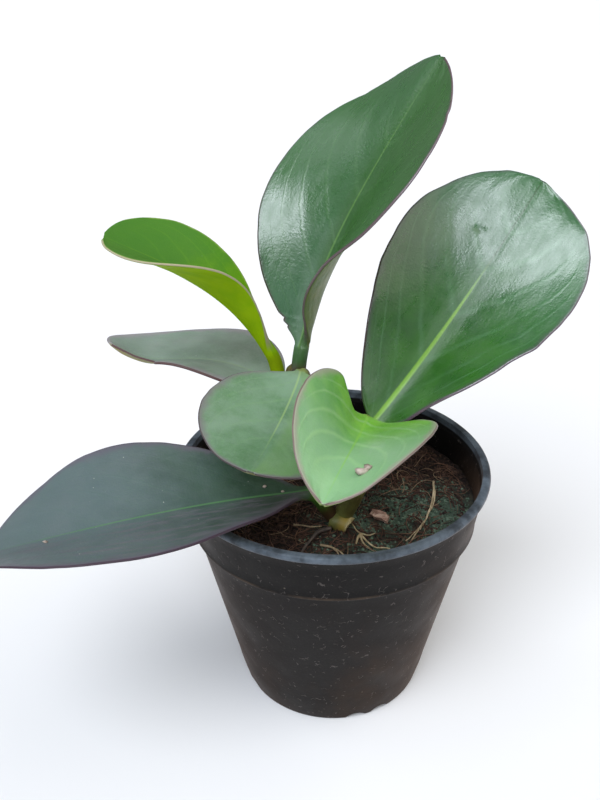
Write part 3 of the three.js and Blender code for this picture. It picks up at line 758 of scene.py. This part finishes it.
# ------------------------------------------------------------------ pot
def pot_profile():
    """Outer and inner outlines as (radius, height) points in millimetres, from floor to floor."""
    collar_top = (RIM_RADIUS - POT["lip_overhang"], POT_HEIGHT - POT["lip_height"])
    collar_foot = (collar_top[0] - POT["collar_taper"], POT_HEIGHT - POT["collar_depth"])
    body_top = (collar_foot[0] - POT["collar_step"], collar_foot[1] - POT["collar_step"])
    wall, top = POT["wall"], POT_HEIGHT
    base, foot, foot_top = POT["base_radius"], POT["foot_radius"], POT["foot_height"]
    lip = []
    roll = POT["lip_height"] / 2
    for k in range(9):
        angle = -math.pi / 2 + math.pi * k / 8
        lip.append(
            (RIM_RADIUS - 0.75 * roll + 0.75 * roll * math.cos(angle),
             top - roll + roll * math.sin(angle))
        )
    outer = [
        (0, 0), (base * 0.6, 0), (base - 1.1, 0),
        (base - 0.45, 0.15), (base - 0.1, 0.5), (base + 0.1, 1.1),
        (foot - 0.75, foot_top - 3), (foot - 0.3, foot_top - 1),
        (foot + 0.05, foot_top + 0.8), (foot + 0.45, foot_top + 3),
        (body_top[0] - 0.2, body_top[1] - 0.9), (body_top[0] + 0.1, body_top[1]),
        (body_top[0] + 0.35, body_top[1] + 0.5), (collar_foot[0] - 0.35, collar_foot[1] - 0.5),
        (collar_foot[0] + 0.1, collar_foot[1] - 0.35), (collar_foot[0] + 0.28, collar_foot[1]),
        (collar_foot[0] + 0.2, collar_foot[1] + 0.5), (collar_foot[0] + 0.12, collar_foot[1] + 1),
        (collar_top[0] - 0.1, collar_top[1] - 0.5), (collar_top[0] + 0.3, collar_top[1]),
        *lip,
    ]
    inner = [
        (collar_top[0] - wall + 0.5, top), (collar_top[0] - wall + 0.1, top - 0.25),
        (collar_top[0] - wall, top - 0.7), (collar_top[0] - wall - 0.1, top - 3.4),
        (collar_top[0] - wall - 0.45, top - 3.9), (collar_top[0] - wall - 0.6, top - 4.4),
        (collar_foot[0] - wall, collar_foot[1] - 0.6),
        (body_top[0] - wall, body_top[1] - 0.6),
        (foot - wall, foot_top), (base - wall + 0.2, POT["floor"]), (0, POT["floor"]),
    ]
    return outer + inner


def refine(profile, longest):
    """The same outline with extra points, so that no side is longer than `longest`."""
    out = [profile[0]]
    for (r0, z0), (r1, z1) in zip(profile, profile[1:]):
        parts = max(1, math.ceil(math.hypot(r1 - r0, z1 - z0) / longest))
        out += [(r0 + (r1 - r0) * k / parts, z0 + (z1 - z0) * k / parts)
                for k in range(1, parts + 1)]
    return out


def turned_faces(rings, segments):
    """Faces of a turned body: its first point, then rings of points, then its last point."""
    faces = []
    for j in range(segments):
        k = (j + 1) % segments
        faces.append((0, 1 + k, 1 + j))
        for i in range(rings - 1):
            a, b = 1 + i * segments, 1 + (i + 1) * segments
            faces.append((a + j, a + k, b + k, b + j))
        last = 1 + (rings - 1) * segments
        faces.append((last + j, last + k, 1 + rings * segments))
    return faces


def lathe(profile, segments):
    """Points and faces of a turned body whose outline starts and ends on the axis."""
    rings = profile[1:-1]
    angle = 2 * math.pi * np.arange(segments) / segments
    points = [[0, 0, profile[0][1]]]
    for r, z in rings:
        points += np.stack([r * np.cos(angle), r * np.sin(angle), np.full(segments, z)], 1).tolist()
    points.append([0, 0, profile[-1][1]])
    return np.array(points), turned_faces(len(rings), segments)


def drain_cutter():
    """Round-topped blocks through the pot's bottom edge, as one object for the cut."""
    rise = DRAIN["height"]
    radius = ((DRAIN["width"] / 2) ** 2 + rise**2) / (2 * rise)
    points, faces = [], []
    sides = 40
    for pair in range(DRAIN["pairs"]):
        for side in (-1, 1):
            turn = math.radians(
                DRAIN["pair_angle"] + 360 / DRAIN["pairs"] * pair + side * DRAIN["half_gap"]
            )
            outwards = np.array([math.cos(turn), math.sin(turn), 0])
            path = [outwards * r + [0, 0, rise - radius] for r in (26, 42)]
            faces += ring_faces(2, sides, len(points))
            points += tube(path, [radius, radius], sides).tolist()
    return make_mesh("drain_cutter", np.array(points) * MM, faces)


def pot_piece():
    points, faces = lathe(refine(pot_profile(), 4.0), POT["segments"])
    heights = points[:, 2] / POT_HEIGHT
    spread = unit(points * [1, 1, 0] + [1e-9, 0, 0])
    softness = lattice_noise(points * [1, 1, 0.5], 30.0, 14) * 0.22 * heights
    points = points + spread * softness[:, None] * (points[:, :1] ** 2 + points[:, 1:2] ** 2 > 900)
    piece = make_mesh("pot_shell", points * MM, faces)
    cutter = drain_cutter()
    cut = piece.modifiers.new("drain", "BOOLEAN")
    cut.operation, cut.solver, cut.object = "DIFFERENCE", "EXACT", cutter
    cut.use_self = True
    shaped = bpy.data.meshes.new_from_object(
        piece.evaluated_get(bpy.context.evaluated_depsgraph_get())
    )
    piece.modifiers.clear()
    piece.data = shaped
    bpy.data.objects.remove(cutter)
    shaped.set_sharp_from_angle(angle=math.radians(38))
    shaped.materials.clear()
    finish_piece(piece, pot_material(), "pot_plastic", "pot")


def pot_material():
    """Thin black plastic: dusty, with brown splashes, pale scratches and tiny chips."""
    s = Shader("black_nursery_plastic")
    place = s.place()
    height = s.node("SeparateXYZ")
    s.put(height.inputs["Vector"], place)
    height = height.outputs["Z"]
    colour = s.blend(s.fade(s.noise(30, 5, 0.7), 0.35, 0.75), (0.003, 0.003, 0.003),
                     (0.009, 0.008, 0.008))
    mud = s.fade(s.noise(16, 5, 0.65), 0.48, 0.8, 0.0, 0.6)
    colour = s.blend(mud, colour, (0.052, 0.027, 0.013))
    grain = s.fade(s.noise(1600, 2, 0.8), 0.5, 0.8, 0.0, 0.25)
    colour = s.blend(grain, colour, (0.045, 0.038, 0.034))

    # Fine curled scratches: thin borders between warped cells, kept only here and there.
    warp = s.feed(s.node("TexNoise"), Vector=place, Scale=300)
    shift = s.node("VectorMath", operation="MULTIPLY_ADD")
    s.put(shift.inputs[0], warp.outputs["Color"])
    shift.inputs[1].default_value = (0.004, 0.004, 0.004)
    s.put(shift.inputs[2], place)
    border = s.feed(s.node("TexVoronoi", feature="DISTANCE_TO_EDGE"),
                    Vector=shift.outputs["Vector"], Scale=330)
    scratch = s.math("MULTIPLY", s.fade(border.outputs["Distance"], 0.035, 0.01),
                     s.fade(s.noise(420, 1), 0.60, 0.66))
    colour = s.blend(s.math("MULTIPLY", scratch, 0.42), colour, (0.17, 0.15, 0.14))
    chips = s.math("MULTIPLY", s.fade(s.cells(230), 0.10, 0.05), s.fade(s.noise(55, 1), 0.56, 0.64))
    colour = s.blend(s.math("MULTIPLY", chips, 0.45), colour, (0.20, 0.17, 0.14))

    # The lip is painted a lighter bluish grey in patches, a painted highlight, and the collar's
    # lower edge gets a thin brownish painted highlight line.
    lip = s.fade(height, (POT_HEIGHT - 2.9) * MM, (POT_HEIGHT - 2.2) * MM)
    lip_highlight_patches = s.fade(s.noise(90, 4, 0.7), 0.35, 0.65, 0.3, 1.0)
    # Painted highlight: the lip's colour is lifted to a bluish grey, patchily.
    colour = s.blend(s.math("MULTIPLY", lip, lip_highlight_patches), colour, (0.120, 0.148, 0.180))
    # A thin brownish painted highlight along the collar's lower edge, in patches.
    step = (POT_HEIGHT - POT["collar_depth"]) * MM
    collar_highlight_line = s.math("MULTIPLY", s.fade(height, step - 0.9 * MM, step - 0.2 * MM),
                    s.fade(height, step + 0.9 * MM, step + 0.3 * MM))
    collar_highlight_line = s.math("MULTIPLY", collar_highlight_line, s.fade(s.noise(45, 4, 0.7), 0.35, 0.6))
    colour = s.blend(s.math("MULTIPLY", collar_highlight_line, 0.6), colour, (0.075, 0.052, 0.036))
    rough = s.math("SUBTRACT", s.fade(s.noise(60, 4), 0.3, 0.7, 0.42, 0.58),
                   s.math("MULTIPLY", lip, 0.1))
    relief = s.bump(s.noise(1100, 3, 0.7), 0.00005, 0.5)
    relief = s.bump(s.noise(130, 3), 0.0004, 0.35, relief)
    relief = s.bump(scratch, 0.0001, 0.5, relief)
    s.set(Base_Color=colour, Roughness=rough, Normal=relief, Specular_IOR_Level=0.13,
          Sheen_Weight=0.09, Sheen_Tint=(1.0, 0.58, 0.38), Sheen_Roughness=0.35)
    return s.material


# ------------------------------------------------------------------ soil
SOIL_EDGE = 50.2
ALGAE_AT, ALGAE_REACH = (24.0, -24.0), 23.0


def soil_height(x, y):
    """The height of the soil's top at a place, in millimetres."""
    flat = np.stack([x, y, np.zeros_like(x)], -1).reshape(-1, 3)
    height = 1.0 * lattice_noise(flat, 17.0, 101)
    height += 0.75 * lattice_noise(flat, 6.5, 102)
    height += 0.5 * lattice_noise(flat, 2.6, 103)
    height = height.reshape(np.shape(x))
    radius = np.hypot(x, y)
    heap = 1.1 * np.exp(-((x - 3) ** 2 + (y + 22) ** 2) / 140)
    sink = 1.2 * np.clip((radius - 42) / 8, 0, 1) ** 2
    return SOIL_LEVEL - 0.3 + height * 0.8 + heap - sink


def soil_top(x, y):
    """soil_height at one place."""
    return soil_height(np.array([float(x)]), np.array([float(y)]))[0]


def random_place(rng, reach):
    """A place drawn evenly from the soil within `reach` of the pot's axis."""
    r = reach * math.sqrt(rng.uniform(0, 1))
    a = rng.uniform(0, 2 * math.pi)
    return r * math.cos(a), r * math.sin(a)


def algae_share(x, y):
    """How green the soil is at a place, from 0 to 1."""
    away = np.hypot(x - ALGAE_AT[0], (y - ALGAE_AT[1]) * 1.1)
    flat = np.stack([x, y, np.zeros_like(x)], -1).reshape(-1, 3)
    patches = 0.5 + 0.5 * lattice_noise(flat, 7.0, 111).reshape(np.shape(x))
    return np.clip(1.7 - away / ALGAE_REACH, 0, 1) * np.clip(patches * 2.2, 0.2, 1)


def soil_piece():
    """The coir soil: a lumpy top over a plain body that fills the pot."""
    segments, rings = 200, 64
    angle = 2 * math.pi * np.arange(segments) / segments
    inner = POT["wall"] + 0.35
    body = [
        (POT["base_radius"] - inner, POT["floor"] + 0.3),
        (POT["foot_radius"] - inner, POT["foot_height"]),
        (SOIL_EDGE - 1.6, SOIL_LEVEL - 7),
        (SOIL_EDGE - 0.1, SOIL_LEVEL - 4),
    ]
    points = [[0, 0, POT["floor"] + 0.3]]
    for r, z in body:
        points += [[r * math.cos(a), r * math.sin(a), z] for a in angle]
    for k in range(rings):
        r = SOIL_EDGE * (1 - k / rings)
        x, y = r * np.cos(angle), r * np.sin(angle)
        points += np.stack([x, y, soil_height(x, y)], 1).tolist()
    points.append([0, 0, soil_top(0, 0)])
    faces = turned_faces(len(body) + rings, segments)
    points = np.array(points)
    green = algae_share(points[:, 0], points[:, 1])
    piece = make_mesh("soil_bed", points * MM, faces, {"algae": green})
    finish_piece(piece, soil_material("soil_bed_coir"), "coir_soil", "soil")


def soil_material(name):
    s = Shader(name)
    colour = s.blend(s.fade(s.noise(500, 5, 0.7), 0.35, 0.7), (0.006, 0.0035, 0.003),
                     (0.045, 0.023, 0.016))
    colour = s.blend(s.fade(s.noise(1500, 3, 0.7), 0.55, 0.75, 0.0, 0.5), colour,
                     (0.115, 0.057, 0.037))
    grown = s.math("MULTIPLY", s.field("algae"), s.fade(s.noise(300, 4, 0.7), 0.15, 0.5))
    colour = s.blend(grown, colour, (0.062, 0.095, 0.068))
    relief = s.bump(s.noise(1200, 5, 0.75), 0.0008, 0.9)
    s.set(Base_Color=colour, Roughness=0.85, Normal=relief, Specular_IOR_Level=0.3)
    return s.material


def coir_fibres(name, count, seed, radius, length, colours, lift):
    """Many thin bent fibres lying on the soil, in one piece."""
    rng = np.random.default_rng(seed)
    steps, sides = 7, 4
    points, faces = [], []
    for _ in range(count):
        x, y = random_place(rng, SOIL_EDGE - 3)
        heading = rng.uniform(0, 2 * math.pi)
        reach = rng.uniform(*length)
        bend = rng.normal(0, 0.28)
        path = []
        for _ in range(steps):
            path.append((x, y))
            x += math.cos(heading) * reach / (steps - 1)
            y += math.sin(heading) * reach / (steps - 1)
            heading += bend + rng.normal(0, 0.12)
        path = np.array(path)
        buried = rng.uniform(0, 1.15) < algae_share(*path[steps // 2 :][:1].T)[0]
        if buried or np.hypot(path[:, 0], path[:, 1]).max() > SOIL_EDGE - 1.0:
            continue
        arch = rng.uniform(0, lift) * np.sin(np.linspace(0, math.pi, steps))
        thick = rng.uniform(*radius)
        tilt = np.linspace(rng.uniform(-0.6, 0.6), rng.uniform(-0.6, 0.6), steps)
        z = soil_height(path[:, 0], path[:, 1]) + thick * 0.6 + arch + tilt * 0.5
        radii = thick * np.linspace(1, 0.55, steps)
        faces += ring_faces(steps, sides, len(points))
        points += tube(np.column_stack([path, z]), radii, sides).tolist()
    piece = make_mesh(name, np.array(points) * MM, faces)
    s = Shader(name + "_look")
    colour = s.blend(s.fade(s.noise(110, 3), 0.35, 0.65), *colours)
    s.set(Base_Color=colour, Roughness=0.7, Specular_IOR_Level=0.3)
    finish_piece(piece, s.material, "coir_soil")


def lump_shape():
    """Corners and sides of a regular body with twenty sides, of radius 1."""
    golden = (1 + math.sqrt(5)) / 2
    corners = unit(np.array([
        (-1, golden, 0), (1, golden, 0), (-1, -golden, 0), (1, -golden, 0),
        (0, -1, golden), (0, 1, golden), (0, -1, -golden), (0, 1, -golden),
        (golden, 0, -1), (golden, 0, 1), (-golden, 0, -1), (-golden, 0, 1),
    ], dtype=float))
    sides = [
        (0, 11, 5), (0, 5, 1), (0, 1, 7), (0, 7, 10), (0, 10, 11), (1, 5, 9), (5, 11, 4),
        (11, 10, 2), (10, 7, 6), (7, 1, 8), (3, 9, 4), (3, 4, 2), (3, 2, 6), (3, 6, 8),
        (3, 8, 9), (4, 9, 5), (2, 4, 11), (6, 2, 10), (8, 6, 7), (9, 8, 1),
    ]
    return corners, sides


def crumb_material(name, colours):
    s = Shader(name + "_look")
    colour = s.blend(s.fade(s.noise(260, 4, 0.7), 0.35, 0.65), *colours)
    s.set(Base_Color=colour, Roughness=0.85, Specular_IOR_Level=0.3)
    return s.material


def lump_piece(name, lumps, colours):
    """One piece made of many small lumps, from the corners of each."""
    sides = lump_shape()[1]
    points, faces = [], []
    for lump in lumps:
        faces += [tuple(len(points) + k for k in side) for side in sides]
        points += lump.tolist()
    piece = make_mesh(name, np.array(points) * MM, faces)
    finish_piece(piece, crumb_material(name, colours), "coir_soil")


def leaf_crumbs():
    """The pale crumbs and flakes that have landed on the leaves."""
    rng = np.random.default_rng(206)
    corners = lump_shape()[0]
    lumps = [corners * rng.uniform(0.55, 1.3, (12, 1)) * [1.0, 0.8, 0.55] * size + place
             for place, size in CRUMBS]
    lump_piece("leaf_crumbs", lumps, ((0.20, 0.15, 0.12), (0.55, 0.47, 0.40)))


def soil_crumbs(name, count, seed, size, colours, green):
    """Many small rough lumps on the soil, in one piece: brown all over, or green on the algae."""
    rng = np.random.default_rng(seed)
    corners = lump_shape()[0]
    lumps = []
    for _ in range(count):
        x, y = random_place(rng, SOIL_EDGE - 1.2)
        share = algae_share(np.array([x]), np.array([y]))[0]
        keep = rng.uniform(0, 1)
        radius = rng.uniform(*size)
        stretch = rng.uniform(0.6, 1.4, 3) * [1, 1, 0.75]
        jitter = rng.uniform(0.7, 1.3, (12, 1))
        if green and keep > share:
            continue
        lumps.append(corners * jitter * stretch * radius
                     + [x, y, soil_top(x, y) + radius * 0.25])
    lump_piece(name, lumps, colours)


# ------------------------------------------------------------------ litter on the soil
def straw(name, strands, colours, slot, nodes):
    """Loose stalks and fibres: each strand is ((x, y, height above the soil)..., radius)."""
    points, faces = [], []
    rings, sides = 26, 8
    for strand, radius in strands:
        path = smooth_path(strand, rings)
        path[:, 2] += soil_height(path[:, 0], path[:, 1]) + radius * 0.7
        knots = 1 + 0.18 * lattice_noise(path * 1.7, 2.0, 7)
        faces += ring_faces(rings, sides, len(points))
        points += tube(path, radius * knots * np.linspace(1, 0.5, rings), sides).tolist()
    piece = make_mesh(name, np.array(points) * MM, faces)
    s = Shader(name + "_look")
    fibre = s.noise(900, 3, 0.7, s.stretch(s.place(), (1, 0.25, 1)))
    s.set(Base_Color=s.blend(s.fade(fibre, 0.35, 0.7), *colours), Roughness=0.65,
          Normal=s.bump(fibre, 0.0002, 0.6))
    finish_piece(piece, s.material, slot, *nodes)


def litter_pieces():
    straw(
        "straw_pair",
        [
            (((36.5, 2, 0.8), (35.4, -6, 1.4), (32, -17, 0.9), (25, -30, 0.3)), 0.45),
            (((36.3, -4, 0.9), (34.8, -11, 1.3), (31.4, -18.4, 0.8), (28.5, -24.5, 0.4)), 0.3),
            (((33, -14, 0.9), (29.5, -22, 0.8), (23, -30.5, 0.3)), 0.28),
        ],
        ((0.25, 0.18, 0.10), (0.60, 0.49, 0.32)), "dry_straw", ["straw_stalk"],
    )
    straw(
        "twig_bits",
        [
            (((-1.5, -26.3, 0.8), (-6, -28, 1.2), (-9, -32, 0.6), (-12, -38, 0.2)), 0.75),
        ],
        ((0.045, 0.032, 0.026), (0.11, 0.08, 0.065)), "brown_bark", ["brown_twig"],
    )
    straw(
        "pale_fibre_bits",
        [
            (((-5.2, -33.8, 0.7), (-2, -35.6, 0.9), (1, -38.5, 0.5), (4.4, -42, 0.3)), 0.45),
            (((-1, -36.5, 0.7), (0.2, -39, 0.6), (0.6, -41.5, 0.3)), 0.35),
            (((-14, -22, 0.6), (-9, -24, 1.0), (-4.5, -24.5, 1.0)), 0.35),
        ],
        ((0.19, 0.13, 0.075), (0.42, 0.32, 0.19)), "dry_straw", ["pale_fibre"],
    )
    straw(
        "root_tuft_bits",
        [
            (((8.0, -29.2, 1.5), (9.2, -31.5, 1.2), (12, -33.6, 0.6), (17.5, -34.5, 0.3)), 0.4),
            (((8.2, -29.4, 1.5), (8.4, -32, 1.0), (10.5, -35, 0.4), (14.5, -36.2, 0.3)), 0.35),
            (((8.0, -29.0, 1.6), (10.5, -29.8, 1.6), (13.0, -28, 1.0)), 0.3),
            (((8.0, -29.0, 1.6), (6.6, -27.4, 1.6), (5.6, -24.4, 1.2)), 0.3),
            (((8.2, -29.2, 1.3), (7.0, -31.5, 0.9), (6.4, -33.5, 0.3)), 0.5),
        ],
        ((0.26, 0.19, 0.10), (0.52, 0.42, 0.26)), "dry_straw", ["root_tuft"],
    )
    chip_piece()


CHIP_AT = (15.5, -17.5)


def chip_piece():
    """A broken flake of bark, pale and pinkish, tilted on the soil."""
    length, width, thick = 7.0, 3.6, 1.3
    columns, rows = 14, 9
    grid = []
    for i in range(columns):
        for j in range(rows):
            x = (i / (columns - 1) - 0.5) * length
            y = (j / (rows - 1) - 0.5) * width * (1 - 0.35 * abs(2 * i / (columns - 1) - 1))
            grid.append((x, y, 0.25 * math.sin(2.2 * y) - 0.04 * x * x))
    grid = np.array(grid)
    edge = lattice_noise(grid * [1, 1, 0], 1.3, 77)
    grid[:, :2] += edge[:, None] * 0.35
    top = grid + [0, 0, thick / 2] + np.outer(lattice_noise(grid, 0.9, 78), [0, 0, 0.25])
    bottom = grid - [0, 0, thick / 2]
    turn = Matrix.Rotation(math.radians(-35), 3, "Z") @ Matrix.Rotation(math.radians(14), 3, "X")
    points = np.vstack([top, bottom]) @ np.array(turn).T
    points += [*CHIP_AT, soil_top(*CHIP_AT) + 1.1]
    faces = []
    below = columns * rows
    for i in range(columns - 1):
        for j in range(rows - 1):
            a = i * rows + j
            faces.append((a, a + rows, a + rows + 1, a + 1))
            faces.append((below + a, below + a + 1, below + a + rows + 1, below + a + rows))
    rim = [i * rows for i in range(columns)]
    rim += [(columns - 1) * rows + j for j in range(1, rows)]
    rim += [i * rows + rows - 1 for i in reversed(range(columns - 1))]
    rim += [j for j in reversed(range(1, rows - 1))]
    for a, b in zip(rim, rim[1:] + rim[:1]):
        faces.append((a, below + a, below + b, b))
    piece = make_mesh("bark_flake", points * MM, faces)
    piece.data.set_sharp_from_angle(angle=math.radians(40))
    s = Shader("bark_flake_look")
    fibre = s.noise(700, 4, 0.7, s.stretch(s.place(), (0.3, 1, 1)))
    colour = s.blend(s.fade(fibre, 0.35, 0.7), (0.26, 0.13, 0.095), (0.72, 0.52, 0.42))
    s.set(Base_Color=colour, Roughness=0.75, Normal=s.bump(fibre, 0.0004, 0.8))
    finish_piece(piece, s.material, "pink_bark", "bark_chip")


# ------------------------------------------------------------------ stage, light and camera
FLOOR_SIZE = 8.0
CAMERA_PLACE = (-0.0112, -0.2652, 0.2602)
CAMERA_DOWN, CAMERA_ROLL = 28.6, -0.8  # degrees below level, and turned about its own axis
CAMERA_LENS, CAMERA_SENSOR = 40, 36
SKY_COLOUR, SKY_STRENGTH = (0.93, 0.96, 1.0, 1), 0.24
# Each light: name, azimuth, elevation, width, all in degrees, then strength and colour.
LIGHTS = (
    ("key_front", -154, 53, 44, 2.9, (0.91, 0.96, 1.05)),
    ("side_left", -68, 42, 30, 0.22, (0.92, 0.97, 1.05)),
    ("fill_right", 95, 50, 70, 1.1, (1.06, 1.0, 0.92)),
)


def build_stage():
    corners = [(-1, -1), (1, -1), (1, 1), (-1, 1)]
    floor = make_mesh("floor", [(x * FLOOR_SIZE, y * FLOOR_SIZE, 0) for x, y in corners],
                      [(0, 1, 2, 3)])
    s = Shader("pale_floor")
    s.set(Base_Color=(0.86, 0.86, 0.86), Roughness=0.9, Specular_IOR_Level=0.2)
    floor.data.materials.append(s.material)


def soft_sun(name, azimuth, elevation, width, strength, colour):
    """A broad soft source far away; azimuth 0 is behind the plant and 90 is on the right."""
    a, e = math.radians(azimuth), math.radians(elevation)
    away = np.array([math.sin(a) * math.cos(e), math.cos(a) * math.cos(e), math.sin(e)])
    light = bpy.data.lights.new(name, "SUN")
    light.angle, light.energy, light.color = math.radians(width), strength, colour
    lamp = bpy.data.objects.new(name, light)
    bpy.context.collection.objects.link(lamp)
    side = unit(np.cross([0, 0, 1.0], away))
    up = np.cross(away, side)
    lamp.matrix_world = Matrix(np.column_stack([side, up, away]).tolist()).to_4x4()


def build_light():
    world = bpy.data.worlds.new("studio")
    bpy.context.scene.world = world
    world.use_nodes = True
    sky = world.node_tree.nodes["Background"]
    sky.inputs["Color"].default_value = SKY_COLOUR
    sky.inputs["Strength"].default_value = SKY_STRENGTH
    for light in LIGHTS:
        soft_sun(*light)
    bpy.context.scene.view_settings.view_transform = "Standard"
    bpy.context.scene.view_settings.look = "None"


def build_camera():
    data = bpy.data.cameras.new("camera")
    data.lens, data.sensor_width = CAMERA_LENS, CAMERA_SENSOR
    camera = bpy.data.objects.new("camera", data)
    bpy.context.collection.objects.link(camera)
    pitch, roll = math.radians(90 - CAMERA_DOWN), math.radians(CAMERA_ROLL)
    turn = Matrix.Rotation(pitch, 4, "X") @ Matrix.Rotation(roll, 4, "Z")
    camera.matrix_world = Matrix.Translation(CAMERA_PLACE) @ turn
    bpy.context.scene.camera = camera


# ------------------------------------------------------------------ the whole model
build_camera()
build_light()
build_stage()
pot_piece()
soil_piece()
coir_fibres("coir_dark", 900, 201, (0.14, 0.32), (5, 14),
            ((0.016, 0.008, 0.006), (0.064, 0.030, 0.020)), 0.9)
coir_fibres("coir_brown", 620, 202, (0.10, 0.22), (6, 18),
            ((0.062, 0.031, 0.020), (0.17, 0.088, 0.056)), 1.3)
coir_fibres("coir_pale", 150, 203, (0.08, 0.17), (6, 16),
            ((0.20, 0.13, 0.08), (0.34, 0.24, 0.15)), 1.6)
soil_crumbs("coir_crumbs", 2600, 204, (0.25, 0.8),
            ((0.010, 0.006, 0.005), (0.085, 0.046, 0.033)), False)
soil_crumbs("algae_crumbs", 9000, 205, (0.22, 0.62),
            ((0.034, 0.058, 0.038), (0.125, 0.180, 0.128)), True)
stem_piece()
for leaf_name in LEAVES:
    leaf_piece(leaf_name)
leaf_crumbs()
litter_pieces()
